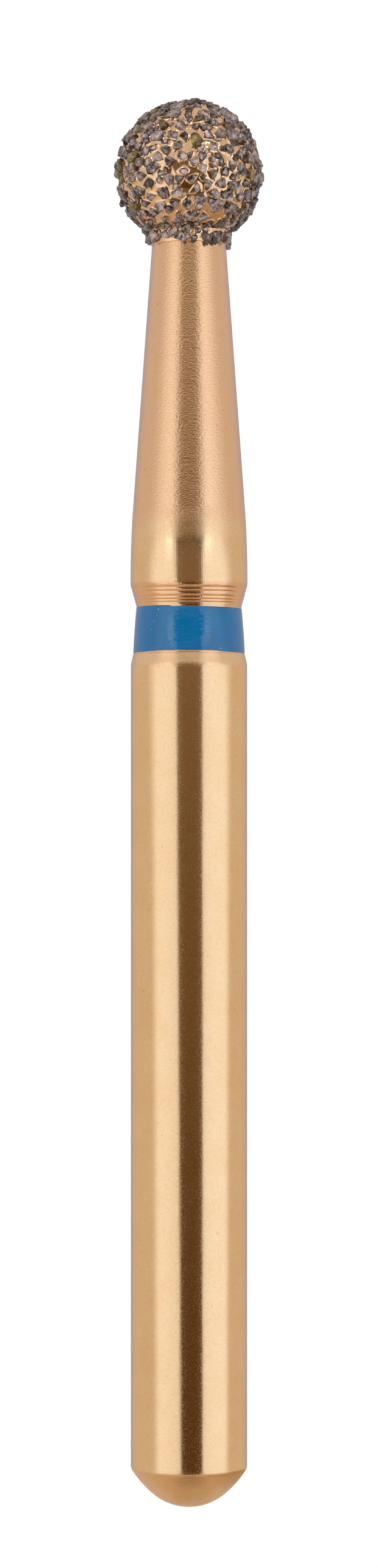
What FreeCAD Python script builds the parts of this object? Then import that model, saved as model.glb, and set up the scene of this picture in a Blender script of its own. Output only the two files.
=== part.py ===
"""A round diamond dental bur for a friction-grip turbine chuck, in millimetres.

The axis is +Z with the head up, and the origin is the tip of the rounded shank end. The blank is one
turned piece: rounded end, shank, shoulder, groove for the colour ring, ridged taper, neck and the core
ball of the head. A lacquer ring fills the groove. Diamond grains sit on the core ball and on the top of
the neck, and a plated bond holds each of them by its foot, so the bond has a pocket for every grain.
"""

import math
import os
import random

import FreeCAD
import Part

Vector = FreeCAD.Vector
AXIS = Vector(0, 0, 1)

# shank and its rounded end
shank_d = 1.600
shank_end_z = 11.568          # where the bevel under the colour ring starts
tip_radius = 0.770            # spherical end of the shank
tip_height = 0.176            # height of that sphere before the flank takes over
flank_radius = 1.410          # longer arc between the tip and the shank
end_edge_radius = 0.050       # rounding where the flank meets the shank

# shoulder, colour ring and ridged taper
bevel_height = 0.170
ring_foot_d = 1.525
ring_top_d = 1.439
ring_height = 0.615
ring_thickness = 0.035        # depth of the groove that the lacquer fills
ridge_taper_height = 0.306
ridge_count = 5
ridge_pitch = 0.052
ridge_depth = 0.010
ridge_start = 0.030           # plain strip between the ring and the first groove

# neck
neck_foot_d = 1.608
neck_foot_round = 13.500      # long run-out from the cone to the foot
neck_foot_height = 0.570      # from the taper to where the cone would meet the foot
neck_slope = 0.0721           # fall of the radius for each millimetre of height

# head
ball_centre_z = 18.321
core_ball_d = 1.690
bond_thickness = 0.113        # on the ball
collar_d = 1.060              # bond on the top of the neck
collar_drop = 0.991           # from the ball's centre down to the collar's rim
rim_chamfer = 0.012

# diamond grains
grain_seed = 21
grain_count = 262
grain_spacing = 0.145         # least distance between two grain centres
grain_width_least = 0.180     # across the corners
grain_width_most = 0.290
grain_rise_least = 0.048      # height above the bond
grain_rise_most = 0.088
square_share = 0.25           # grains with four low corners, where the others have three
grain_gap = 0.007             # least gap between two grains
foot_share = 0.55             # how far down the ball's bond a grain's foot reaches
foot_gap = 0.006              # bond left under a grain on the collar
olive_share = 0.08
pale_share = 0.05

# sizes that follow
shank_r = shank_d / 2
ring_foot_z = shank_end_z + bevel_height
ring_top_z = ring_foot_z + ring_height
ring_foot_r = ring_foot_d / 2
ring_top_r = ring_top_d / 2
taper_top_z = ring_top_z + ridge_taper_height
neck_foot_r = neck_foot_d / 2
cone_foot_z = taper_top_z + neck_foot_height
core_r = core_ball_d / 2
bond_r = core_r + bond_thickness
collar_r = collar_d / 2
collar_rim_z = ball_centre_z - collar_drop


def at(r, z):
    """Point of a lathe section at radius r and height z."""
    return Vector(r, 0, z)


def neck_r(z):
    """Radius of the neck's cone at height z."""
    return neck_foot_r - neck_slope * (z - cone_foot_z)


def line(a, b):
    return Part.LineSegment(a, b).toShape()


def arc(centre, radius, start, end):
    """Arc of a section about centre, its angles in radians from the direction of +r."""
    points = [
        centre + Vector(math.cos(angle), 0, math.sin(angle)) * radius
        for angle in (start, (start + end) / 2, end)
    ]
    return Part.Arc(*points).toShape()


def direction(centre, point):
    """Angle of point seen from centre, in radians from the direction of +r."""
    return math.atan2(point.z - centre.z, point.x - centre.x)


def rounded_path(corners):
    """Edges through corners (r, z, rounding radius), each rounding a tangent arc."""
    edges = []
    last = at(*corners[0][:2])
    for index in range(1, len(corners)):
        corner = at(*corners[index][:2])
        radius = corners[index][2]
        if not radius:
            edges.append(line(last, corner))
            last = corner
            continue
        to_last = (last - corner).normalize()
        to_next = (at(*corners[index + 1][:2]) - corner).normalize()
        half = to_last.getAngle(to_next) / 2
        reach = radius / math.tan(half)
        start = corner + to_last * reach
        end = corner + to_next * reach
        middle = (to_last + to_next).normalize()
        centre = corner + middle * (radius / math.sin(half))
        edges.append(line(last, start))
        edges.append(Part.Arc(start, centre - middle * radius, end).toShape())
        last = end
    return edges


def turned(edges):
    """Solid turned about the axis from the closed section that the edges make."""
    wire = Part.Wire(Part.__sortEdges__(edges))
    return Part.Face(wire).revolve(Vector(0, 0, 0), AXIS, 360)


def shank_end():
    """Arcs of the rounded end, from the axis to the shank, and the height at which they end."""
    tip_centre = at(0, tip_radius)
    tip_start = -math.pi / 2
    tip_end = tip_start + math.acos(1 - tip_height / tip_radius)
    outward = Vector(math.cos(tip_end), 0, math.sin(tip_end))
    flank_centre = tip_centre + outward * (tip_radius - flank_radius)
    edge_x = shank_r - end_edge_radius
    inner_radius = flank_radius - end_edge_radius
    edge_drop = math.sqrt(inner_radius ** 2 - (edge_x - flank_centre.x) ** 2)
    edge_centre = at(edge_x, flank_centre.z - edge_drop)
    flank_end = direction(flank_centre, edge_centre)
    edges = [
        arc(tip_centre, tip_radius, tip_start, tip_end),
        arc(flank_centre, flank_radius, tip_end, flank_end),
        arc(edge_centre, end_edge_radius, flank_end, 0),
    ]
    return edges, edge_centre.z


def ridged_taper():
    """Corners of the taper above the ring, with its fine turned grooves, from the ring upwards."""
    rise = (neck_foot_r - ring_top_r) / ridge_taper_height
    corners = [(ring_top_r, ring_top_z, 0)]
    for index in range(ridge_count):
        start = ridge_start + index * ridge_pitch
        middle = start + ridge_pitch / 2
        corners.append((ring_top_r + rise * start, ring_top_z + start, 0))
        corners.append((ring_top_r + rise * middle - ridge_depth, ring_top_z + middle, 0))
    corners.append((neck_foot_r, taper_top_z, 0))
    return corners


def core_foot():
    """Height at which the neck's cone enters the core ball."""
    slope = 1 + neck_slope ** 2
    centre_r = neck_r(ball_centre_z)
    drop = (math.sqrt(core_r ** 2 * slope - centre_r ** 2) - centre_r * neck_slope) / slope
    return ball_centre_z - drop


def make_blank():
    """The turned steel blank, from the rounded end to the core ball."""
    end_edges, end_z = shank_end()
    foot_z = core_foot()
    corners = [
        (shank_r, end_z, 0),
        (shank_r, shank_end_z, 0),
        (ring_foot_r, ring_foot_z, 0),
        (ring_foot_r - ring_thickness, ring_foot_z, 0),
        (ring_top_r - ring_thickness, ring_top_z, 0),
    ]
    corners += ridged_taper()
    corners += [
        (neck_foot_r, cone_foot_z, neck_foot_round),
        (neck_r(foot_z), foot_z, 0),
    ]
    centre = at(0, ball_centre_z)
    ball = arc(centre, core_r, direction(centre, at(neck_r(foot_z), foot_z)), math.pi / 2)
    axis = line(at(0, 0), at(0, ball_centre_z + core_r))
    return turned(end_edges + rounded_path(corners) + [ball, axis])


def make_colour_ring():
    """The lacquer in the groove, flush with the blank at both edges."""
    corners = [
        (ring_foot_r, ring_foot_z, 0),
        (ring_top_r, ring_top_z, 0),
        (ring_top_r - ring_thickness, ring_top_z, 0),
        (ring_foot_r - ring_thickness, ring_foot_z, 0),
        (ring_foot_r, ring_foot_z, 0),
    ]
    return turned(rounded_path(corners))


def collar_top():
    """Height at which the bond's collar enters the ball."""
    return ball_centre_z - math.sqrt(bond_r ** 2 - collar_r ** 2)


def make_plain_bond():
    """The plated bond before the grains' pockets: a skin on the ball with a collar on the neck."""
    centre = at(0, ball_centre_z)
    outer_foot = at(collar_r, collar_top())
    inner_foot = at(neck_r(core_foot()), core_foot())
    collar = [
        (neck_r(core_foot()), core_foot(), 0),
        (neck_r(collar_rim_z), collar_rim_z, 0),
        (collar_r - rim_chamfer, collar_rim_z, 0),
        (collar_r, collar_rim_z + rim_chamfer, 0),
        (collar_r, collar_top(), 0),
    ]
    skin = [
        arc(centre, bond_r, direction(centre, outer_foot), math.pi / 2),
        line(at(0, ball_centre_z + bond_r), at(0, ball_centre_z + core_r)),
        arc(centre, core_r, direction(centre, inner_foot), math.pi / 2),
    ]
    return turned(rounded_path(collar) + skin)


class Seat:
    """Place of one grain: its centre on the bond, the outward normal, and how far it may rise and sink."""

    def __init__(self, centre, normal, rise, sink):
        self.centre = centre
        self.normal = normal
        self.rise = rise
        self.sink = sink


def ball_seat(dice):
    """A seat anywhere on the ball outside the collar."""
    lowest = (collar_top() - ball_centre_z) / bond_r
    height = dice.uniform(lowest, 1)
    turn = dice.uniform(0, 2 * math.pi)
    across = math.sqrt(1 - height ** 2)
    normal = Vector(across * math.cos(turn), across * math.sin(turn), height)
    centre = Vector(0, 0, ball_centre_z) + normal * bond_r
    return Seat(centre, normal, dice.uniform(grain_rise_least, grain_rise_most), bond_thickness * foot_share)


def collar_seat(dice):
    """A seat on the collar, where the bond is thin."""
    z = dice.uniform(collar_rim_z + grain_width_least / 4, collar_top() - grain_width_least / 2)
    turn = dice.uniform(0, 2 * math.pi)
    normal = Vector(math.cos(turn), math.sin(turn), 0)
    sink = collar_r - neck_r(z) - foot_gap
    return Seat(normal * collar_r + Vector(0, 0, z), normal, dice.uniform(grain_rise_least, grain_rise_most), sink)


def scatter_seats(dice):
    """Seats over ball and collar, no two nearer than the least spacing."""
    collar_area = 2 * math.pi * collar_r * (collar_top() - collar_rim_z)
    ball_area = 2 * math.pi * bond_r * (ball_centre_z + bond_r - collar_top())
    collar_share = collar_area / (collar_area + ball_area)
    seats = []
    for _ in range(grain_count * 40):
        if len(seats) == grain_count:
            break
        seat = collar_seat(dice) if dice.random() < collar_share else ball_seat(dice)
        if all((seat.centre - other.centre).Length > grain_spacing for other in seats):
            seats.append(seat)
    return seats


def cell_walls(seat, seats):
    """Planes (outward normal, offset) that keep a grain off its neighbours and off the neck."""
    walls = []
    for other in seats:
        between = other.centre - seat.centre
        if other is seat or between.Length > 2 * grain_width_most:
            continue
        away = Vector(between).normalize()
        middle = seat.centre + between * 0.5
        walls.append((away, middle.dot(away) - grain_gap / 2))
    low = seat.centre.z - grain_width_most
    if low < core_foot():
        inward = Vector(-seat.centre.x, -seat.centre.y, 0).normalize()
        walls.append((inward, -neck_r(low) - foot_gap))
    return walls


def trimmed(base, flat, walls):
    """Point at flat from base, drawn in as far as the walls ask."""
    share = 1.0
    for away, offset in walls:
        outward = flat.dot(away)
        if outward > 0:
            share = min(share, (offset - base.dot(away)) / outward)
    return flat * max(share, 0)


def grain_points(seat, walls, dice):
    """Corners of one grain: a pointed foot in the bond, three corners low down and a broken top."""
    side = seat.normal.cross(Vector(0.31, 0.42, 0.85)).normalize()
    turn = dice.uniform(0, 2 * math.pi)
    long_way = side * math.cos(turn) + seat.normal.cross(side) * math.sin(turn)
    short_way = seat.normal.cross(long_way)
    long_half = dice.uniform(grain_width_least, grain_width_most) / 2
    short_half = long_half * dice.uniform(0.75, 1.0)
    start = dice.uniform(0, 2 * math.pi)
    count = 4 if dice.random() < square_share else 3
    waist = []
    for index in range(count):
        angle = start + (index + dice.uniform(-0.14, 0.14)) * 2 * math.pi / count
        flat = long_way * (long_half * math.cos(angle)) + short_way * (short_half * math.sin(angle))
        lift = seat.normal * (seat.rise * dice.uniform(0.10, 0.35))
        waist.append((lift, trimmed(seat.centre + lift, flat, walls)))
    points = [seat.centre + lift + flat for lift, flat in waist]
    points.append(seat.centre - seat.normal * seat.sink)
    for index in range(dice.choice((2, 3, 3, 3))):
        share = dice.uniform(0.3, 0.7)
        flat = waist[index][1] * share + waist[(index + 1) % count][1] * (1 - share)
        lift = seat.normal * (seat.rise * dice.uniform(0.75, 1.0))
        flat = trimmed(seat.centre + lift, flat * dice.uniform(0.90, 1.45), walls)
        points.append(seat.centre + lift + flat)
    return points


def hull(points):
    """Solid with flat faces round the points, or None where they don't make one."""
    least_area = grain_width_least ** 2 * 3e-4
    faces = []
    count = len(points)
    middle = sum(points, Vector()) * (1.0 / count)
    for a in range(count):
        for b in range(a + 1, count):
            for c in range(b + 1, count):
                normal = (points[b] - points[a]).cross(points[c] - points[a])
                if normal.Length < least_area:
                    return None
                normal.normalize()
                if normal.dot(middle - points[a]) > 0:
                    normal = normal * -1
                rest = [p for i, p in enumerate(points) if i not in (a, b, c)]
                if max(normal.dot(p - points[a]) for p in rest) < 1e-6:
                    corners = [points[a], points[b], points[c], points[a]]
                    faces.append(Part.Face(Part.makePolygon(corners)))
    shell = Part.makeShell(faces)
    shell.sewShape()
    solid = Part.Solid(shell)
    if not solid.isValid() or not shell.isClosed():
        return None
    if solid.Volume < 0:
        solid.reverse()
    return solid


def make_grains():
    """All the grains, by colour."""
    dice = random.Random(grain_seed)
    seats = scatter_seats(dice)
    grains = {"grains_grey": [], "grains_olive": [], "grains_pale": []}
    for seat in seats:
        points = grain_points(seat, cell_walls(seat, seats), dice)
        colour = dice.random()
        grain = hull(points)
        if grain is None:
            continue
        if colour < olive_share:
            grains["grains_olive"].append(grain)
        elif colour < olive_share + pale_share:
            grains["grains_pale"].append(grain)
        else:
            grains["grains_grey"].append(grain)
    return grains


def main():
    os.makedirs("parts", exist_ok=True)
    grains = make_grains()
    every_grain = [grain for group in grains.values() for grain in group]
    nodes = {
        "blank": make_blank(),
        "colour_ring": make_colour_ring(),
        "bond_layer": make_plain_bond().cut(every_grain),
    }
    for name, group in grains.items():
        nodes[name] = Part.makeCompound(group)
    for name, shape in nodes.items():
        shape.exportStep("parts/" + name + ".step")


main()
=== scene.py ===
"""Looks of the round diamond dental bur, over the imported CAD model.

Sizes are in millimetres, in the CAD's own frame, and go to metres when a mesh is made.
"""

import math
import random

import bmesh
import bpy
import numpy as np
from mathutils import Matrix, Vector, noise


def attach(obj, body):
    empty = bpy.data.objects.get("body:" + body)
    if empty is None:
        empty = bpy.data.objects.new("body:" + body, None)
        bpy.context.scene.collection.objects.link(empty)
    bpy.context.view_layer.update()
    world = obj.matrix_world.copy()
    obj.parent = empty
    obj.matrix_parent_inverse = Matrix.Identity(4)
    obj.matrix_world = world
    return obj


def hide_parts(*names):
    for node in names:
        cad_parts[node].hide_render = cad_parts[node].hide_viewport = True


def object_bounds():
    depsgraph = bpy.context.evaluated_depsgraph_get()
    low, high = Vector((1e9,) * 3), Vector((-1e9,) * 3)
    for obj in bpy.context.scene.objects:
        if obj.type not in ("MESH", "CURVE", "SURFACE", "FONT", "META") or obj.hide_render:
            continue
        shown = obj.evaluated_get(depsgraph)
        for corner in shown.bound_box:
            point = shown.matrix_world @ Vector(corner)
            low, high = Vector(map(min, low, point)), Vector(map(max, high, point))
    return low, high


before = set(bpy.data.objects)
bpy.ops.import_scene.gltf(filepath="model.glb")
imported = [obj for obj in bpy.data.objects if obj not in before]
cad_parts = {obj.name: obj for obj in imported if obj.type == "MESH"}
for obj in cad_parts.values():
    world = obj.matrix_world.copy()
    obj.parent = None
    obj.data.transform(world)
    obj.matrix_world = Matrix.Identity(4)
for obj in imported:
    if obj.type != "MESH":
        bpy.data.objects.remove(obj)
cad_box = [list(corner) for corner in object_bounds()]

MM = 0.001

# photograph: its height in the object's millimetres, and the height of its middle
photo_height = 21.556
photo_middle_z = 9.928
# the lens, by how the end's and the ring's edges curve in the photograph
camera_distance = 60.0

# shank and rounded end
shank_r = 0.800
shank_end_z = 11.568
tip_radius = 0.770
tip_height = 0.176
flank_radius = 1.410
end_edge_radius = 0.120

# shoulder, ring and ridged taper
ring_foot_z = 11.738
ring_foot_r = 0.7625
ring_top_z = 12.353
ring_top_r = 0.7195
ring_proud = 0.004
ring_crown = 0.004
ring_depth = 0.030
ring_wander = 0.022
bevel_round = 0.26
bevel_foot_gap = 0.012
bevel_foot_out = 0.001
small_round = 0.02
taper_top_z = 12.659
taper_top_round = 0.088
ridge_heights = (0.050, 0.088, 0.134, 0.200, 0.252)
ridge_depth = 0.0045
ridge_half = 0.012
ridge_floor_half = 0.003

# neck
neck_foot_r = 0.804
neck_foot_round = 13.5
cone_foot_z = 13.229
neck_slope = 0.0721

# head
ball_z = 18.321
core_r = 0.845
core_foot_z = 17.630
bond_r = 0.958
collar_r = 0.530
collar_rim_z = 17.330
collar_top_z = ball_z - 0.80
rim_round = 0.012
rim_tuck = 0.004
collar_fillet = 0.045

# bond: how it is drawn up at each grain, how uneven it is in between, and how soon over the rim both begin
meniscus_height = 0.014
meniscus_width = 0.009
meniscus_reach = 0.22
bond_uneven = 0.003
rim_fade = 0.04
# how many lumps there are in a millimetre of it, coarse and fine
bond_coarse = 9.0
bond_fine = 24.0

# grains: usual rise over the bond, longest edge of a facet's mesh, and unevenness of the faces
grain_rise = 0.085
grain_step = 0.032
grain_grit = 0.010
grain_sharp_degrees = 32
grain_smooth = 0.3
# how often its faces rise and fall in a millimetre, coarse and fine
grit_coarse = 16
grit_fine = 38
# how a grain is broken: its size before the cuts, how many there are, and how many go to its corners
grain_oversize = 1.12
grain_cuts = (5, 8)
corner_cuts = 3
# where the cuts lie, as a share of the reach from the grain's middle, and how far they tilt
corner_cut_at = (0.70, 0.86)
other_cut_at = (0.86, 0.98)
cut_tilt = 0.22

# small grains in the bare places: places tried, least and most half width, and unevenness of the faces
small_tries = 1600
small_least = 0.028
small_most = 0.090
small_grit = 0.007
# how near another grain counts, how far one may run into it, and the share of the places on the collar
small_near = 0.30
small_bite = 0.025
small_collar_share = 0.05
small_collar_low = collar_rim_z + 0.02
small_collar_high = 17.50
# levels of a small grain's corners in its half widths, with how many there are, and its greatest stretch
small_levels = ((-0.5, 3), (0.15, 4), (0.85, 3))
small_stretch = 1.35

# how finely turned pieces are cut: steps round the axis, and lengths along the section
turn_steps = 256
bond_turn_steps = 420
end_step = 0.03
edge_step = 0.008
round_step = 0.02
run_step = 0.35
core_step = 0.05
rim_step = 0.005
bond_step = 0.0114


def neck_r(z):
    """Radius of the neck's cone at a height."""
    return neck_foot_r - neck_slope * (z - cone_foot_z)


# lathe sections


def arc_points(centre, radius, start, end, step):
    """Points of an arc about centre, angles from +r, no further apart than step."""
    count = max(2, math.ceil(abs(end - start) * radius / step))
    angles = [start + (end - start) * i / count for i in range(count + 1)]
    return [(centre[0] + radius * math.cos(a), centre[1] + radius * math.sin(a)) for a in angles]


def rounded(corners, step):
    """Points along corners (r, z, rounding), with each rounding as a tangent arc cut at step."""
    points = [corners[0][:2]]
    for before, corner, after in zip(corners, corners[1:], corners[2:] + [None]):
        here = Vector(corner[:2])
        if not corner[2] or after is None:
            points.append(tuple(here))
            continue
        back = (Vector(before[:2]) - here).normalized()
        ahead = (Vector(after[:2]) - here).normalized()
        half = back.angle(ahead) / 2
        reach = corner[2] / math.tan(half)
        centre = here + (back + ahead).normalized() * (corner[2] / math.sin(half))
        first = here + back * reach - centre
        last = here + ahead * reach - centre
        sweep = first.angle_signed(last)
        count = max(2, math.ceil(abs(sweep) * corner[2] / step))
        start = math.atan2(first.y, first.x)
        for i in range(count + 1):
            angle = start - sweep * i / count
            arm = (corner[2] * math.cos(angle), corner[2] * math.sin(angle))
            points.append((centre.x + arm[0], centre.y + arm[1]))
    return points


def filled(points, step):
    """The same section with runs longer than step divided."""
    out = [points[0]]
    for a, b in zip(points, points[1:]):
        count = max(1, math.ceil(math.dist(a, b) / step))
        for i in range(1, count + 1):
            out.append((a[0] + (b[0] - a[0]) * i / count, a[1] + (b[1] - a[1]) * i / count))
    return out


def grid(section, steps):
    """Points (rows, steps, 3) of a section turned about the axis."""
    section = np.array(section)
    turn = np.arange(steps) * (2 * math.pi / steps)
    points = np.empty((len(section), steps, 3))
    points[..., 0] = section[:, :1] * np.cos(turn)
    points[..., 1] = section[:, :1] * np.sin(turn)
    points[..., 2] = section[:, 1:]
    return points


def turned_piece(name, points, closed=False):
    """Mesh object from turned rows.

    A row that lies on the axis becomes one point. closed joins the last row to the first.
    """
    rows, steps, _ = points.shape
    verts, index = [], []
    for r in range(rows):
        if np.hypot(points[r, :, 0], points[r, :, 1]).max() < 1e-6:
            index.append([len(verts)] * steps)
            verts.append(tuple(points[r, 0]))
        else:
            index.append(list(range(len(verts), len(verts) + steps)))
            verts.extend(map(tuple, points[r]))
    faces = []
    pairs = list(zip(range(rows - 1), range(1, rows)))
    if closed:
        pairs.append((rows - 1, 0))
    for low, high in pairs:
        for s in range(steps):
            t = (s + 1) % steps
            face = (index[low][s], index[low][t], index[high][t], index[high][s])
            faces.append(tuple(dict.fromkeys(face)))
    return piece(name, verts, faces)


def piece(name, verts, faces):
    """Smooth-shaded mesh object from points in millimetres."""
    mesh = bpy.data.meshes.new(name)
    mesh.from_pydata([(x * MM, y * MM, z * MM) for x, y, z in verts], [], faces)
    mesh.update()
    obj = bpy.data.objects.new(name, mesh)
    bpy.context.scene.collection.objects.link(obj)
    mesh.polygons.foreach_set("use_smooth", [True] * len(mesh.polygons))
    return obj


# sections of the blank, ring and bond


def direction(centre, point):
    """Angle of a point (r, z) about a centre, from +r."""
    return math.atan2(point[1] - centre[1], point[0] - centre[0])


def end_section():
    """The rounded shank end, from the axis to the cylinder."""
    tip_centre = (0, tip_radius)
    tip_end = -math.pi / 2 + math.acos(1 - tip_height / tip_radius)
    off = tip_radius - flank_radius
    flank_centre = (off * math.cos(tip_end), tip_radius + off * math.sin(tip_end))
    edge_x = shank_r - end_edge_radius
    drop = math.sqrt((flank_radius - end_edge_radius) ** 2 - (edge_x - flank_centre[0]) ** 2)
    edge_centre = (edge_x, flank_centre[1] - drop)
    flank_end = direction(flank_centre, edge_centre)
    points = arc_points(tip_centre, tip_radius, -math.pi / 2, tip_end, end_step)
    points += arc_points(flank_centre, flank_radius, tip_end, flank_end, end_step)[1:]
    points += arc_points(edge_centre, end_edge_radius, flank_end, 0, edge_step)[1:]
    points[0] = (0, points[0][1])
    return points


def blank_section():
    """The whole blank. The groove's ends lie under the ring's wandering edges."""
    rise = (neck_foot_r - ring_top_r) / (taper_top_z - ring_top_z)
    slope = (ring_top_r - ring_foot_r) / (ring_top_z - ring_foot_z)
    inset = 2 * ring_wander
    low = (ring_foot_r + slope * inset, ring_foot_z + inset)
    high = (ring_top_r - slope * inset, ring_top_z - inset)
    corners = [
        (*end_section()[-1], 0),
        (shank_r, shank_end_z, bevel_round),
        (ring_foot_r + bevel_foot_out, ring_foot_z - bevel_foot_gap, small_round),
        (*low, 0),
        (low[0] - ring_depth, low[1], 0),
        (high[0] - ring_depth, high[1], 0),
        (*high, 0),
        (ring_top_r, ring_top_z, small_round),
    ]
    flat = ridge_floor_half
    groove = ((-ridge_half, 0), (-flat, ridge_depth), (flat, ridge_depth), (ridge_half, 0))
    for height in ridge_heights:
        for offset, depth in groove:
            z = height + offset
            corners.append((ring_top_r + rise * z - depth, ring_top_z + z, 0))
    corners += [
        (neck_foot_r, taper_top_z, taper_top_round),
        (neck_foot_r, cone_foot_z, neck_foot_round),
        (neck_r(core_foot_z), core_foot_z, 0),
    ]
    foot = (neck_r(core_foot_z), core_foot_z)
    ball = arc_points((0, ball_z), core_r, direction((0, ball_z), foot), math.pi / 2, core_step)
    ball[-1] = (0, ball_z + core_r)
    body = filled(rounded(corners, round_step), run_step)
    return end_section() + body[1:] + ball


def bond_section():
    """Outside of the bond, from the neck over the rim, collar and ball to the top."""
    reach = bond_r + collar_fillet
    fillet_r = collar_r + collar_fillet
    fillet_centre = (fillet_r, ball_z - math.sqrt(reach ** 2 - fillet_r ** 2))
    touch = direction((0, ball_z), fillet_centre)
    rim_centre = (collar_r - rim_round, collar_rim_z + rim_round)
    points = [(neck_r(collar_rim_z) - rim_tuck, collar_rim_z)]
    points += arc_points(rim_centre, rim_round, -math.pi / 2, 0, rim_step)
    points += filled([points[-1], (collar_r, fillet_centre[1])], bond_step)[1:]
    points += arc_points(fillet_centre, collar_fillet, math.pi, touch + math.pi, bond_step)[1:]
    points += arc_points((0, ball_z), bond_r, touch, math.pi / 2, bond_step)[1:]
    points[-1] = (0, ball_z + bond_r)
    return points


# node helpers


def tree_of(name):
    """New node material: (material, tree, principled shader)."""
    material = bpy.data.materials.new(name)
    material.use_nodes = True
    tree = material.node_tree
    return material, tree, tree.nodes["Principled BSDF"]


def node(tree, kind, inputs=None, **settings):
    """Adds a node. An input given as a socket is linked, and anything else is its value."""
    made = tree.nodes.new("ShaderNode" + kind)
    for key, value in settings.items():
        setattr(made, key, value)
    for key, value in (inputs or {}).items():
        if isinstance(value, bpy.types.NodeSocket):
            tree.links.new(value, made.inputs[key])
        else:
            made.inputs[key].default_value = value
    return made


def stretched(tree, across, along):
    """Object coordinates scaled by across in X and Y and by along in Z, per metre."""
    place = node(tree, "TexCoord").outputs["Object"]
    return node(tree, "Mapping", {"Vector": place, "Scale": (across, across, along)}).outputs[0]


def speckle(tree, across, along, detail=2.0, rough=0.5):
    """Noise value over the object coordinates."""
    place = stretched(tree, across, along)
    inputs = {"Vector": place, "Scale": 1.0, "Detail": detail, "Roughness": rough}
    return node(tree, "TexNoise", inputs).outputs["Fac"]


def ranged(tree, value, low, high, to_low=0.0, to_high=1.0):
    """value between low and high, as to_low to to_high, with soft ends."""
    inputs = {"Value": value, "From Min": low, "From Max": high, "To Min": to_low, "To Max": to_high}
    return node(tree, "MapRange", inputs, interpolation_type="SMOOTHSTEP").outputs["Result"]


def maths(tree, operation, a, b=0.0, c=0.0):
    """Result of a math node."""
    return node(tree, "Math", {0: a, 1: b, 2: c}, operation=operation).outputs[0]


def blended(tree, share, a, b):
    """Colour a turning into b by share."""
    made = node(tree, "Mix", data_type="RGBA", blend_type="MIX")
    for key, kind, value in (("Factor", "VALUE", share), ("A", "RGBA", a), ("B", "RGBA", b)):
        socket = next(s for s in made.inputs if s.name == key and s.type == kind)
        if isinstance(value, bpy.types.NodeSocket):
            tree.links.new(value, socket)
        else:
            socket.default_value = (*value, 1)
    return next(s for s in made.outputs if s.type == "RGBA")


def band(tree, height, middle, inner, outer):
    """1 within inner of the middle height, 0 beyond outer. Sizes in millimetres."""
    off = maths(tree, "ABSOLUTE", maths(tree, "SUBTRACT", height, middle * MM))
    return ranged(tree, off, inner * MM, outer * MM, 1.0, 0.0)


def bumped(tree, shader, height, distance, under=None):
    """Bump of height, times distance in millimetres, on the shader."""
    inputs = {"Height": height, "Distance": distance * MM, "Strength": 1.0}
    if under is not None:
        inputs["Normal"] = under
    normal = node(tree, "Bump", inputs).outputs[0]
    tree.links.new(normal, shader.inputs["Normal"])
    return normal


# materials

# gold-coloured steel
gold = (0.962, 0.688, 0.418)
gold_pale = (0.972, 0.718, 0.460)
gold_matte = (0.940, 0.610, 0.390)
gold_speck = (0.84, 0.56, 0.33)
gold_crease = (0.86, 0.61, 0.42)
gold_ridged = (0.86, 0.50, 0.31)
gold_lip = (0.80, 0.45, 0.28)
pit_brown = (0.42, 0.24, 0.12)

# blue lacquer
blue = (0.0, 0.133, 0.332)
blue_light = (0.0, 0.154, 0.372)
chip_grey = (0.50, 0.50, 0.46)
dust_blue = (0.25, 0.40, 0.55)

# plated bond
plate_light = (0.93, 0.685, 0.455)
plate_deep = (0.87, 0.605, 0.400)
plate_shadow = (0.62, 0.38, 0.23)

# heights where the steel's finish changes: from and to
ridged_foot = (12.34, 12.36)
ridged_top = (12.66, 12.70)
matte_foot = (13.35, 13.70)
lip_z = 11.725
# heights where the finish is rougher: middle, half width with all of it, half width with any, and how much
rough_bands = (
    (13.48, 0.10, 0.28, 0.13),
    (11.60, 0.03, 0.10, 0.12),
    (0.46, 0.05, 0.16, 0.13),
)


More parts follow.
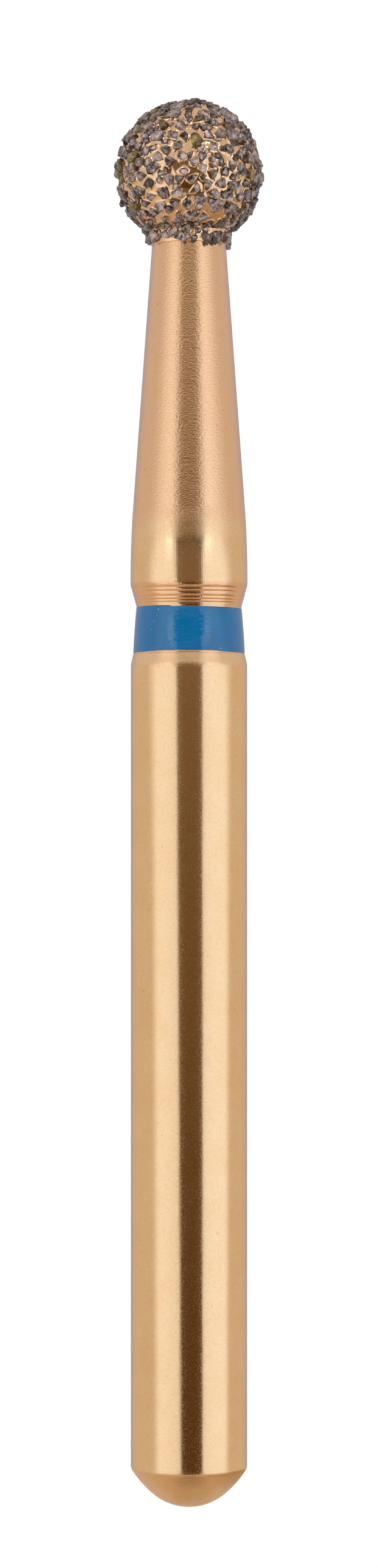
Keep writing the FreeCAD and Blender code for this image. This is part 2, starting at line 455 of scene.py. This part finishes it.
def gilt_steel():
    """Gold-coloured steel: satin on the shank, ridged and then smooth over the ring, crinkled on the neck."""
    material, tree, shader = tree_of("gilt_steel")
    place = node(tree, "SeparateXYZ", {0: node(tree, "TexCoord").outputs["Object"]})
    height = place.outputs["Z"]
    neck = ranged(tree, height, matte_foot[0] * MM, matte_foot[1] * MM)
    above_ring = ranged(tree, height, ridged_foot[0] * MM, ridged_foot[1] * MM)
    below_foot = ranged(tree, height, ridged_top[0] * MM, ridged_top[1] * MM, 1.0, 0.0)
    ridges = maths(tree, "MULTIPLY", above_ring, below_foot)
    foot = maths(tree, "MULTIPLY", above_ring, maths(tree, "SUBTRACT", 1.0, neck))
    lip = band(tree, height, lip_z, 0.010, 0.030)
    patches = speckle(tree, 2600, 2200, 3.0, 0.6)
    specks = speckle(tree, 34000, 30000, 2.0, 0.6)
    crinkle = speckle(tree, 24000, 56000, 2.0, 0.6)
    streaks = speckle(tree, 26000, 700, 3.0, 0.55)
    pits = ranged(tree, speckle(tree, 15000, 15000, 1.0), 0.76, 0.82)

    tone = blended(tree, ranged(tree, patches, 0.35, 0.65), gold, gold_pale)
    tone = blended(tree, maths(tree, "MULTIPLY", neck, 0.75), tone, gold_matte)
    tone = blended(tree, ranged(tree, specks, 0.44, 0.72, 0.0, 0.45), tone, gold_speck)
    creases = maths(tree, "MULTIPLY", ranged(tree, crinkle, 0.5, 0.75, 0.0, 0.4), neck)
    tone = blended(tree, creases, tone, gold_crease)
    tone = blended(tree, maths(tree, "MULTIPLY", ridges, 0.55), tone, gold_ridged)
    tone = blended(tree, maths(tree, "MULTIPLY", lip, 0.5), tone, gold_lip)
    tone = blended(tree, maths(tree, "MULTIPLY", pits, 0.4), tone, pit_brown)
    tree.links.new(tone, shader.inputs["Base Color"])
    shader.inputs["Metallic"].default_value = 1.0

    satin = speckle(tree, 76000, 66000, 3.0, 0.7)
    rough = ranged(tree, satin, 0.42, 0.70, 0.11, 0.28)
    rough = maths(tree, "MULTIPLY_ADD", neck, 0.04, rough)
    for middle, inner, outer, more in rough_bands:
        rough = maths(tree, "MULTIPLY_ADD", band(tree, height, middle, inner, outer), more, rough)
    tree.links.new(rough, shader.inputs["Roughness"])

    speck_share = maths(tree, "MULTIPLY_ADD", ridges, 5.0, 1.0)
    fine = bumped(tree, shader, maths(tree, "MULTIPLY", specks, speck_share), 0.00022)
    fine = bumped(tree, shader, maths(tree, "MULTIPLY", crinkle, neck), 0.0044, fine)
    streak_share = maths(tree, "MULTIPLY_ADD", foot, 2.0, 1.0)
    bumped(tree, shader, maths(tree, "MULTIPLY", streaks, streak_share), 0.0003, fine)
    return material


def blue_lacquer():
    """Blue lacquer, glossy and a little uneven, with pale chips and specks."""
    material, tree, shader = tree_of("blue_lacquer")
    patches = speckle(tree, 3000, 3000, 3.0)
    chips = ranged(tree, speckle(tree, 13000, 22000, 2.0, 0.6), 0.735, 0.77)
    dust = ranged(tree, speckle(tree, 52000, 52000, 1.0), 0.75, 0.80)
    tone = blended(tree, ranged(tree, patches, 0.3, 0.7), blue, blue_light)
    tone = blended(tree, maths(tree, "MULTIPLY", chips, 0.8), tone, chip_grey)
    tone = blended(tree, maths(tree, "MULTIPLY", dust, 0.5), tone, dust_blue)
    tree.links.new(tone, shader.inputs["Base Color"])
    shader.inputs["IOR"].default_value = 1.62
    tree.links.new(ranged(tree, patches, 0.3, 0.7, 0.03, 0.07), shader.inputs["Roughness"])
    strokes = speckle(tree, 5000, 14000, 3.0, 0.6)
    uneven = maths(tree, "ADD", patches, maths(tree, "MULTIPLY", strokes, 0.35))
    coarse = bumped(tree, shader, uneven, 0.004)
    bumped(tree, shader, maths(tree, "SUBTRACT", speckle(tree, 20000, 26000, 2.0), chips), 0.0006, coarse)
    return material


def plated_bond():
    """Bright gold-coloured plate, lumpy between the grains and pitted in places."""
    material, tree, shader = tree_of("plated_bond")
    patches = speckle(tree, 7000, 7000, 3.0)
    lumps = speckle(tree, 26000, 26000, 3.0, 0.6)
    tone = blended(tree, ranged(tree, patches, 0.35, 0.7), plate_light, plate_deep)
    tone = blended(tree, ranged(tree, lumps, 0.55, 0.8, 0.0, 0.4), tone, plate_shadow)
    tree.links.new(tone, shader.inputs["Base Color"])
    shader.inputs["Metallic"].default_value = 1.0
    tree.links.new(ranged(tree, lumps, 0.3, 0.7, 0.08, 0.16), shader.inputs["Roughness"])
    coarse = bumped(tree, shader, lumps, 0.0010)
    pitted = ranged(tree, speckle(tree, 4500, 4500, 1.0), 0.50, 0.60)
    pits = maths(tree, "MULTIPLY", speckle(tree, 42000, 42000, 2.0, 0.6), pitted)
    bumped(tree, shader, pits, 0.0040, coarse)
    return material


def diamond(name, dark, light, painted_glint):
    """Broken diamond of one colour.

    Every facet has its own painted shade, as if it caught the light its own way, over a mottled tone. All are
    darker down in the bond and where they turn away, which is painted shade too, and the light flecks are
    painted glints.
    """
    material, tree, shader = tree_of(name)
    shade = node(tree, "Attribute", attribute_name="shade").outputs["Fac"]
    rise = node(tree, "Attribute", attribute_name="rise").outputs["Fac"]
    inside = speckle(tree, 13000, 13000, 3.0, 0.6)
    flecks = speckle(tree, 40000, 40000, 2.0, 0.6)
    # the shade attribute: a grain's random tone with each facet's painted shade on top
    shade = maths(tree, "MULTIPLY", shade, 0.6)
    share = maths(tree, "MULTIPLY_ADD", ranged(tree, inside, 0.38, 0.66), 0.55, shade)
    share = ranged(tree, share, 0.15, 0.85)
    # painted shade: darker down where the grain meets the bond
    share = maths(tree, "MULTIPLY", share, ranged(tree, rise, -0.1, 0.75, 0.2, 1.0))
    # painted shade: darker where the faces turn away from the view
    facing = node(tree, "LayerWeight", {"Blend": 0.5}).outputs["Facing"]
    share = maths(tree, "MULTIPLY", share, ranged(tree, facing, 0.15, 0.75, 1.15, 0.45))
    tone = blended(tree, share, dark, light)
    # painted glints: small light flecks in the glint colour
    tone = blended(tree, ranged(tree, flecks, 0.64, 0.72, 0.0, 0.7), tone, painted_glint)
    tree.links.new(tone, shader.inputs["Base Color"])
    shader.inputs["IOR"].default_value = 1.70
    shader.inputs["Transmission Weight"].default_value = 0.75
    tree.links.new(ranged(tree, flecks, 0.3, 0.7, 0.05, 0.20), shader.inputs["Roughness"])
    coarse = bumped(tree, shader, inside, 0.006)
    bumped(tree, shader, flecks, 0.0015, coarse)
    return material


# grains


def hull_of(points):
    """Convex solid round the points, its flat faces whole."""
    solid = bmesh.new()
    for point in points:
        solid.verts.new(point)
    made = bmesh.ops.convex_hull(solid, input=solid.verts)
    loose = [v for v in made["geom_interior"] + made["geom_unused"] if isinstance(v, bmesh.types.BMVert)]
    bmesh.ops.delete(solid, geom=list(set(loose)), context="VERTS")
    bmesh.ops.dissolve_limit(solid, angle_limit=0.03, verts=solid.verts, edges=solid.edges)
    return solid


def islands(name):
    """Corners of each separate solid of a CAD node, in millimetres."""
    mesh = bmesh.new()
    mesh.from_mesh(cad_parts[name].data)
    for vert in mesh.verts:
        vert.co = vert.co / MM
    bmesh.ops.remove_doubles(mesh, verts=mesh.verts, dist=1e-5)
    seen, found = set(), []
    for vert in mesh.verts:
        if vert in seen:
            continue
        group, queue = [], [vert]
        seen.add(vert)
        while queue:
            here = queue.pop()
            group.append(here.co.copy())
            for edge in here.link_edges:
                other = edge.other_vert(here)
                if other not in seen:
                    seen.add(other)
                    queue.append(other)
        found.append(group)
    mesh.free()
    return found


def outward(point):
    """Direction out of the head at a point of ball or collar."""
    if point.z > collar_top_z:
        return (point - Vector((0, 0, ball_z))).normalized()
    return Vector((point.x, point.y, 0)).normalized()


def random_way(dice):
    """A random vector, as long as it comes."""
    return Vector((dice.gauss(0, 1), dice.gauss(0, 1), dice.gauss(0, 1)))


def broken(corners, dice, chips):
    """A grain's convex solid with its sharp corners knocked off.

    It is made larger by grain_oversize first, since the cuts take that off again. The first cuts go
    to the farthest of the upper corners, and the others to any side but down into the bond.
    """
    centre = sum(corners, Vector()) / len(corners)
    solid = hull_of([centre + (corner - centre) * grain_oversize for corner in corners])
    for chip in range(chips):
        middle = sum((v.co for v in solid.verts), Vector()) / len(solid.verts)
        up = outward(middle)
        if chip < corner_cuts:
            far = max(solid.verts, key=lambda v: (v.co - middle).length * ((v.co - middle).dot(up) > -0.03))
            way = (far.co - middle).normalized() + up * 0.1
            low, high = corner_cut_at
        else:
            way = random_way(dice).normalized()
            if way.dot(up) < -0.25:
                way = -way
            low, high = other_cut_at
        way = (way + random_way(dice) * cut_tilt).normalized()
        reach = max((v.co - middle).dot(way) for v in solid.verts)
        cut = middle + way * (reach * dice.uniform(low, high))
        geom = list(solid.verts) + list(solid.edges) + list(solid.faces)
        bmesh.ops.bisect_plane(solid, geom=geom, dist=1e-6, plane_co=cut, plane_no=way, clear_outer=True)
        points = [v.co.copy() for v in solid.verts]
        solid.free()
        solid = hull_of(points)
    return solid


def planes_of(solid):
    """Face planes of a convex solid: unit normals outward, and offsets."""
    middle = sum((v.co for v in solid.verts), Vector()) / len(solid.verts)
    normals, offsets = [], []
    for face in solid.faces:
        face.normal_update()
        way = face.normal.copy()
        if way.dot(face.calc_center_median() - middle) < 0:
            way = -way
        normals.append(tuple(way))
        offsets.append(way.dot(face.calc_center_median()))
    return np.array(normals), np.array(offsets)


def drop_doubled(mesh):
    """Takes out pairs of faces that lie back to back on the same three corners."""
    pairs = {}
    for face in mesh.faces:
        pairs.setdefault(frozenset(face.verts), []).append(face)
    doubled = [face for group in pairs.values() if len(group) > 1 for face in group]
    bmesh.ops.delete(mesh, geom=doubled, context="FACES")


def grain_piece(name, solids, dice, grit):
    """One piece of many grains with worn edges and uneven faces, kept inside the CAD's box.

    Each facet has a shade from 0 to 1, a grain's random tone with a painted shade of the facet's own on top,
    and each corner a rise, 0 at the bond and 1 at its highest.
    """
    whole = bmesh.new()
    shades = whole.faces.layers.float.new("shade")
    for solid in solids:
        own = dice.uniform(0, 0.5)
        copies = {v: whole.verts.new(v.co) for v in solid.verts}
        for face in solid.faces:
            # a facet's shade: the grain's random tone, with a painted shade of the facet's own on top, as if
            # each facet caught the light its own way
            whole.faces.new([copies[v] for v in face.verts])[shades] = own + 0.5 * dice.random() ** 1.5
    bmesh.ops.triangulate(whole, faces=whole.faces)
    # three rounds leave few edges longer than grain_step
    for _ in range(3):
        long = [edge for edge in whole.edges if edge.calc_length() > grain_step]
        bmesh.ops.subdivide_edges(whole, edges=long, cuts=1)
        bmesh.ops.triangulate(whole, faces=[face for face in whole.faces if len(face.verts) > 3])
    drop_doubled(whole)
    every_axis = {"use_axis_x": True, "use_axis_y": True, "use_axis_z": True}
    bmesh.ops.smooth_vert(whole, verts=whole.verts, factor=grain_smooth, **every_axis)
    bmesh.ops.recalc_face_normals(whole, faces=whole.faces)
    whole.normal_update()
    moved = []
    for vert in whole.verts:
        uneven = noise.noise(vert.co * grit_coarse) + 0.6 * noise.noise(vert.co * grit_fine) - 0.25
        moved.append(vert.co + vert.normal * (grit * uneven))
    for vert, place in zip(whole.verts, moved):
        for axis in range(3):
            place[axis] = min(max(place[axis], cad_box[0][axis] / MM), cad_box[1][axis] / MM)
        vert.co = place
    rises = [rise_of(vert.co) / grain_rise for vert in whole.verts]
    for vert in whole.verts:
        vert.co = vert.co * MM
    mesh = bpy.data.meshes.new(name)
    whole.to_mesh(mesh)
    whole.free()
    layer = mesh.attributes.new("rise", "FLOAT", "POINT")
    layer.data.foreach_set("value", rises)
    mesh.polygons.foreach_set("use_smooth", [True] * len(mesh.polygons))
    mesh.set_sharp_from_angle(angle=math.radians(grain_sharp_degrees))
    made = bpy.data.objects.new(name, mesh)
    bpy.context.scene.collection.objects.link(made)
    return made


def rise_of(point):
    """Height of a point above the plain bond."""
    if point.z > collar_top_z:
        return (point - Vector((0, 0, ball_z))).length - bond_r
    return math.hypot(point.x, point.y) - collar_r


def surface_point(dice):
    """A point of the bond's surface and its outward direction, even over the area."""
    lowest = -math.sqrt(1 - ((collar_r + collar_fillet) / bond_r) ** 2)
    if dice.random() < small_collar_share:
        turn = dice.uniform(0, 2 * math.pi)
        way = Vector((math.cos(turn), math.sin(turn), 0))
        return way * collar_r + Vector((0, 0, dice.uniform(small_collar_low, small_collar_high))), way
    up = dice.uniform(lowest, 1)
    turn = dice.uniform(0, 2 * math.pi)
    across = math.sqrt(1 - up * up)
    way = Vector((across * math.cos(turn), across * math.sin(turn), up))
    return Vector((0, 0, ball_z)) + way * bond_r, way


def small_grains(planes, dice):
    """Small lumps in the bare places that the planes of the other grains leave."""
    made = []
    planes = list(planes)
    middles = [np.linalg.lstsq(normals, offsets, rcond=None)[0] for normals, offsets in planes]
    for _ in range(small_tries):
        point, way = surface_point(dice)
        here = np.array(point)
        near = np.where(np.linalg.norm(np.array(middles) - here, axis=1) < small_near)[0]
        room = min([(planes[i][0] @ here - planes[i][1]).max() for i in near] + [small_most])
        if room < small_least:
            continue
        half = min(room + small_bite, small_most) * dice.uniform(0.80, 1.0)
        side = way.orthogonal().normalized()
        other = way.cross(side)
        long_way = dice.uniform(1.0, small_stretch)
        corners = []
        for level, count in small_levels:
            start = dice.uniform(0, 2 * math.pi)
            for i in range(count):
                angle = start + (i + dice.uniform(-0.25, 0.25)) * 2 * math.pi / count
                reach = half * dice.uniform(0.75, 1.0)
                lift = half * level * dice.uniform(0.8, 1.15)
                across = side * (math.cos(angle) * long_way) + other * math.sin(angle)
                corners.append(point + way * lift + across * reach)
        solid = hull_of(corners)
        made.append(solid)
        planes.append(planes_of(solid))
        middles.append(here)
    return made


# build


dice = random.Random(47)
grains = {}
for cad_name in ("grains_grey", "grains_olive", "grains_pale"):
    grains[cad_name] = [broken(corners, dice, dice.randint(*grain_cuts)) for corners in islands(cad_name)]
big_planes = [planes_of(solid) for group in grains.values() for solid in group]
chips = small_grains(big_planes, dice)
chip_planes = [planes_of(solid) for solid in chips]

blank = turned_piece("blank_turned", grid(blank_section(), turn_steps))
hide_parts("blank")

# bond: the turned skin, drawn up against each grain
skin = grid(bond_section(), bond_turn_steps)
flat = skin.reshape(-1, 3)
ways = np.array([outward(Vector(p)) for p in flat])
lift = np.zeros(len(flat))
for normals, offsets in big_planes + chip_planes:
    middle = np.linalg.lstsq(normals, offsets, rcond=None)[0]
    near = np.where(np.linalg.norm(flat - middle, axis=1) < meniscus_reach)[0]
    if len(near) == 0:
        continue
    gap = np.maximum((flat[near] @ normals.T - offsets).max(axis=1), 0)
    rise = meniscus_height * np.exp(-gap / meniscus_width)
    lift[near] = np.maximum(lift[near], rise)
coarse = np.array([noise.noise(Vector(p) * bond_coarse) for p in flat])
fine = np.array([noise.noise(Vector(p) * bond_fine) for p in flat])
fade = np.clip((flat[:, 2] - collar_rim_z) / rim_fade, 0, 1)
lift = (lift + bond_uneven * (coarse + 0.5 * fine)) * fade
skin = (flat + ways * lift[:, None]).reshape(skin.shape)
bond = turned_piece("bond_plated", skin)
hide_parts("bond_layer")

# ring: lacquer with wandering edges
# its section: share of its height, and share of ring_proud there, or if negative a depth below the taper
shares = [0, 0, 0.01, 0.03, 0.1, 0.25, 0.5, 0.75, 0.9, 0.97, 0.99, 1, 1]
proud = [-ring_depth, 0, 0.7, 1, 1, 1, 1, 1, 1, 1, 0.7, 0, -ring_depth]
# rise of the upper and lower edge round the axis, by degrees from +x, with a step near the front
high_rise = [
    (-180, 0.008), (-131, 0.018), (-112, 0.015), (-109, -0.006), (-89, -0.003), (-66, -0.007),
    (-45, -0.011), (0, -0.017), (90, 0.004), (180, 0.008),
]
low_rise = [
    (-180, -0.014), (-143, -0.003), (-119, 0.010), (-99, 0.010), (-86, 0.007), (-67, 0.012),
    (-55, 0.000), (-41, -0.010), (-8, -0.017), (90, -0.004), (180, -0.014),
]
edge_uneven = 0.003
turns = np.arange(turn_steps) * (2 * math.pi / turn_steps)


def wander(rises, seed):
    """Uneven edge height round the ring."""
    angles = (np.degrees(turns) + 180) % 360 - 180
    fine = [noise.noise(Vector((math.cos(t) * 9, math.sin(t) * 9, seed))) for t in turns]
    plain = np.interp(angles, [row[0] for row in rises], [row[1] for row in rises])
    return plain + edge_uneven * np.array(fine)


ring_rows = []
span = ring_top_z - ring_foot_z
low_edge = ring_foot_z + wander(low_rise, 3.0)
high_edge = ring_top_z + wander(high_rise, 11.0)
for share, out in zip(shares, proud):
    z = low_edge + (high_edge - low_edge) * share
    base = ring_foot_r + (ring_top_r - ring_foot_r) * (z - ring_foot_z) / span
    if out >= 0:
        radius = base + ring_proud * out + ring_crown * 4 * share * (1 - share)
    else:
        radius = base + out
    ring_rows.append(np.stack([radius * np.cos(turns), radius * np.sin(turns), z], axis=1))
ring = turned_piece("ring_lacquer", np.array(ring_rows), closed=True)
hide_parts("colour_ring")


def dressed(made, material):
    """Gives a piece its material and its body."""
    made.data.materials.append(material)
    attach(made, "root")


dressed(blank, gilt_steel())
dressed(ring, blue_lacquer())
dressed(bond, plated_bond())

# each diamond's colour at its darkest, at its lightest and in its painted glints
stone_colours = {
    "diamond_grey": ((0.024, 0.016, 0.020), (0.88, 0.79, 0.86), (0.95, 0.92, 0.95)),
    "diamond_olive": ((0.050, 0.038, 0.014), (0.66, 0.55, 0.17), (0.82, 0.78, 0.42)),
    "diamond_pale": ((0.12, 0.12, 0.10), (0.72, 0.74, 0.66), (0.88, 0.90, 0.84)),
}
stones = {slot: diamond(slot, *colours) for slot, colours in stone_colours.items()}
for cad_name, group in grains.items():
    slot = cad_name.replace("grains", "diamond")
    made = grain_piece(cad_name + "_broken", group, dice, grain_grit)
    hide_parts(cad_name)
    dressed(made, stones[slot])
made = grain_piece("grains_small", chips, dice, small_grit)
dressed(made, stones["diamond_grey"])

# stage, light and camera

# a light tent seen only in reflections: a round wall, with a top and a foot that leave a tiny hole
tent_radius = 60.0
tent_top = 50.0
tent_foot = -16.0
tent_hole = 0.01
# points of its grids: round it, up the wall, and out from the axis
tent_columns = 241
tent_rows = 63
tent_rings = 31

# the dark opening at the camera's side, by height: edges in degrees and colour
opening = [
    (-16.0, -14.0, 27.0, (0.080, 0.034, 0.006)),
    (-6.9, -16.5, 26.7, (0.085, 0.036, 0.006)),
    (8.1, -22.4, 26.7, (0.158, 0.092, 0.036)),
    (16.5, -25.5, 25.5, (0.225, 0.140, 0.078)),
    (20.9, -25.5, 25.5, (0.210, 0.130, 0.070)),
    (21.7, -33.0, 33.0, (0.020, 0.030, 0.030)),
    (23.9, -34.0, 34.0, (0.020, 0.030, 0.030)),
    (25.5, -23.0, 23.0, (0.270, 0.185, 0.110)),
    (35.5, -23.0, 23.0, (0.290, 0.200, 0.125)),
    (38.5, -30.0, 30.0, (0.050, 0.035, 0.025)),
    (50.0, -30.0, 30.0, (0.050, 0.035, 0.025)),
]
opening_top = 38.5
opening_top_soft = 3
opening_side_soft = 1.5
# beside the opening the wall is a little dimmer, from and to in degrees
beside_turn = (25, 55)
beside_light = 0.94

# where the dimmer side walls of the tent begin, by height: left from and to, right from and to, in degrees
sides = [
    (-6.9, 58.0, 76.0, 74.0, 88.0),
    (8.1, 64.0, 82.0, 74.0, 92.0),
    (16.5, 66.0, 98.0, 68.0, 100.0),
    (20.4, 60.0, 80.0, 60.0, 80.0),
    (29.8, 48.0, 76.0, 48.0, 76.0),
]
left_tint = (0.985, 0.955, 0.915)
side_colour = (0.65, 0.54, 0.42)
high_side_colour = (0.67, 0.61, 0.56)
high_rim_colour = (0.60, 0.57, 0.64)
back_colour = (0.46, 0.42, 0.47)
upper_tint = (0.84, 0.73, 0.61)
# where those colours come in: from and to, in height or in degrees from the camera's side
high_side_height = (19.5, 25.5)
high_rim_height = (21.5, 27)
high_rim_turn = (108, 132)
back_turn = (120, 166)
upper_height = (37, 40)

# a brighter patch on each side of the opening: where it begins and ends, in degrees and in height
glare_light = 0.8
glare_turn = (29, 32, 40, 52)
glare_height = (19.5, 20.5, 22.9, 24.2)

# the tent's top, with a lamp on each side, in degrees and in radius
over_colour = (0.66, 0.55, 0.46)
lamp_light = 4.0
lamp_turn = (34, 38, 50, 54)
lamp_radius = (26, 29, 37, 40)

# the tent's foot: plain, behind, to the right, far out on the camera's side, in the middle, and in front
under_colour = (0.57, 0.41, 0.26)
under_back = (0.60, 0.47, 0.37)
under_right = (0.42, 0.28, 0.16)
under_bright = (0.78, 0.61, 0.46)
under_middle = (0.34, 0.23, 0.13)
under_front = (0.16, 0.10, 0.06)
# where those colours come in or go: from and to, in radius, in degrees or straight across and back
under_back_at = (2, 12)
under_right_at = (7, 18)
under_bright_turn = (66, 100)
under_bright_radius = (26, 38)
under_middle_left = (2.5, 7.5)
under_middle_right = (3.5, 10)
under_middle_ahead = (-1, 5)
under_middle_radius = (20, 34)
under_front_turn = (20, 26)
under_front_radius = (34, 44)


def step_up(low, high, value):
    """0 below low, 1 above high, smooth between."""
    share = np.clip((value - low) / (high - low), 0, 1)
    return share * share * (3 - 2 * share)


def step_down(low, high, value):
    """1 below low, 0 above high, smooth between."""
    return 1 - step_up(low, high, value)


def hump(edges, value):
    """0, then 1 between the middle two edges, then 0 again."""
    return step_up(edges[0], edges[1], value) * step_down(edges[2], edges[3], value)


def toward(colour, other, share):
    """colour turned into other by share, an array."""
    return colour * (1 - share[..., None]) + np.array(other) * share[..., None]


def wall_colour(turn, height):
    """Light of the tent's wall. turn is in degrees from the camera's side, positive to the right."""
    colour = np.ones(turn.shape + (3,))
    away = np.abs(turn)
    # a little dimmer beside the opening, and warmer on the left
    colour *= (beside_light + (1 - beside_light) * step_up(*beside_turn, away))[..., None]
    colour[turn < 0] *= left_tint
    colour += (glare_light * hump(glare_turn, away) * hump(glare_height, height))[..., None]
    # side walls, greyer higher up
    rows = np.array(sides)
    edges = [np.interp(height, rows[:, 0], rows[:, column]) for column in range(1, 5)]
    share = np.where(turn < 0, step_up(edges[0], edges[1], away), step_up(edges[2], edges[3], away))
    side = np.ones(colour.shape) * np.array(side_colour)
    side = toward(side, high_side_colour, step_up(*high_side_height, height))
    colour = colour * (1 - share[..., None]) + side * share[..., None]
    # behind the object, which only its rims reflect, and above it
    high_rim = step_up(*high_rim_turn, away) * step_up(*high_rim_height, height)
    colour = toward(colour, high_rim_colour, high_rim)
    colour = toward(colour, back_colour, step_up(*back_turn, away))
    colour = colour * (1 - (1 - np.array(upper_tint)) * step_up(*upper_height, height)[..., None])
    # the opening, with soft edges
    levels = [row[0] for row in opening]
    left = np.interp(height, levels, [row[1] for row in opening])
    right = np.interp(height, levels, [row[2] for row in opening])
    dark = [np.interp(height, levels, [row[3][i] for row in opening]) for i in range(3)]
    soft = opening_side_soft
    share = step_up(-soft, soft, turn - left) * step_down(-soft, soft, turn - right)
    share *= step_down(opening_top - opening_top_soft, opening_top + opening_top_soft, height)
    share = share[..., None]
    return colour * (1 - share) + np.stack(dark, axis=-1) * share


def top_colour(turn, radius):
    """Light of the tent's top, with its lamps."""
    colour = np.ones(turn.shape + (3,)) * np.array(over_colour)
    return colour + (lamp_light * hump(lamp_turn, np.abs(turn)) * hump(lamp_radius, radius))[..., None]


def foot_colour(turn, radius):
    """Light of the tent's foot. across is to the right, and ahead towards the camera."""
    away = np.abs(turn)
    across = radius * np.sin(np.radians(turn))
    ahead = radius * np.cos(np.radians(turn))
    bright = step_down(*under_bright_turn, away) * step_up(*under_bright_radius, radius)
    left = step_down(*under_middle_left, -across)
    right = step_down(*under_middle_right, across)
    middle = np.where(across < 0, left, right) * (0.25 + 0.75 * step_up(*under_middle_ahead, ahead))
    middle *= step_down(*under_middle_radius, radius)
    front = step_down(*under_front_turn, away) * step_up(*under_front_radius, radius)
    colour = np.ones(turn.shape + (3,)) * np.array(under_colour)
    colour = toward(colour, under_back, step_up(*under_back_at, -ahead))
    colour = toward(colour, under_right, step_up(*under_right_at, across))
    colour = toward(colour, under_bright, bright)
    colour = toward(colour, under_middle, middle)
    return toward(colour, under_front, front)


def glowing(name, points, colours):
    """Wall of light from a grid of points, seen only in reflections."""
    rows, columns, _ = points.shape
    faces = []
    for r in range(rows - 1):
        for c in range(columns - 1):
            first = r * columns + c
            faces.append((first, first + 1, first + columns + 1, first + columns))
    made = piece(name, points.reshape(-1, 3).tolist(), faces)
    layer = made.data.attributes.new("light", "FLOAT_COLOR", "POINT")
    rgba = np.concatenate([colours.reshape(-1, 3), np.ones((rows * columns, 1))], axis=1)
    layer.data.foreach_set("color", rgba.ravel())
    material = bpy.data.materials.new(name)
    material.use_nodes = True
    tree = material.node_tree
    tree.nodes.clear()
    light = node(tree, "Attribute", attribute_name="light").outputs["Color"]
    glow = node(tree, "Emission", {"Color": light, "Strength": 1.0})
    tree.links.new(glow.outputs[0], node(tree, "OutputMaterial").inputs["Surface"])
    made.data.materials.append(material)
    made.visible_camera = False
    made.visible_shadow = False
    made.visible_diffuse = False
    made.visible_transmission = False


def around(turn, radius, height):
    """Points at an angle from the camera's side, a radius and a height."""
    way = np.radians(turn)
    return np.stack(np.broadcast_arrays(radius * np.sin(way), -radius * np.cos(way), height), axis=-1)


degrees = np.linspace(-180, 180, tent_columns)
turn, height = np.meshgrid(degrees, np.linspace(tent_foot, tent_top, tent_rows))
glowing("tent_wall", around(turn, tent_radius, height), wall_colour(turn, height))
turn, radius = np.meshgrid(degrees, np.linspace(tent_hole, tent_radius, tent_rings))
glowing("tent_top", around(turn, radius, tent_top), top_colour(turn, radius))
glowing("tent_foot", around(turn, radius, tent_foot), foot_colour(turn, radius))

# plain pale floor, white to the camera, well below so that it hides nothing from any side
floor_half = 2000
floor_z = -130
floor_corners = [(x * floor_half, y * floor_half, floor_z) for x, y in ((-1, -1), (1, -1), (1, 1), (-1, 1))]
floor = piece("floor", floor_corners, [(0, 1, 2, 3)])
material, tree, shader = tree_of("floor")
shader.inputs["Base Color"].default_value = (0.80, 0.80, 0.80, 1)
shader.inputs["Roughness"].default_value = 0.9
seen = node(tree, "LightPath").outputs["Is Camera Ray"]
white = node(tree, "Emission", {"Color": (1, 1, 1, 1), "Strength": 1.0}).outputs[0]
mixed = node(tree, "MixShader", {0: seen, 1: shader.outputs[0], 2: white}).outputs[0]
tree.links.new(mixed, tree.nodes["Material Output"].inputs["Surface"])
floor.data.materials.append(material)
floor.visible_glossy = False

world = bpy.data.worlds.new("studio")
bpy.context.scene.world = world
world.use_nodes = True
back = world.node_tree.nodes["Background"]
back.inputs["Color"].default_value = (1, 1, 1, 1)
back.inputs["Strength"].default_value = 1.0

scene = bpy.context.scene
scene.view_settings.view_transform = "Standard"
camera_data = bpy.data.cameras.new("camera")
camera_data.angle = 2 * math.atan(photo_height / 2 / camera_distance)
camera_data.clip_start = 0.001
camera_data.clip_end = 10
camera = bpy.data.objects.new("camera", camera_data)
camera.location = (0, -camera_distance * MM, photo_middle_z * MM)
camera.rotation_euler = (math.radians(90), 0, 0)
scene.collection.objects.link(camera)
scene.camera = camera
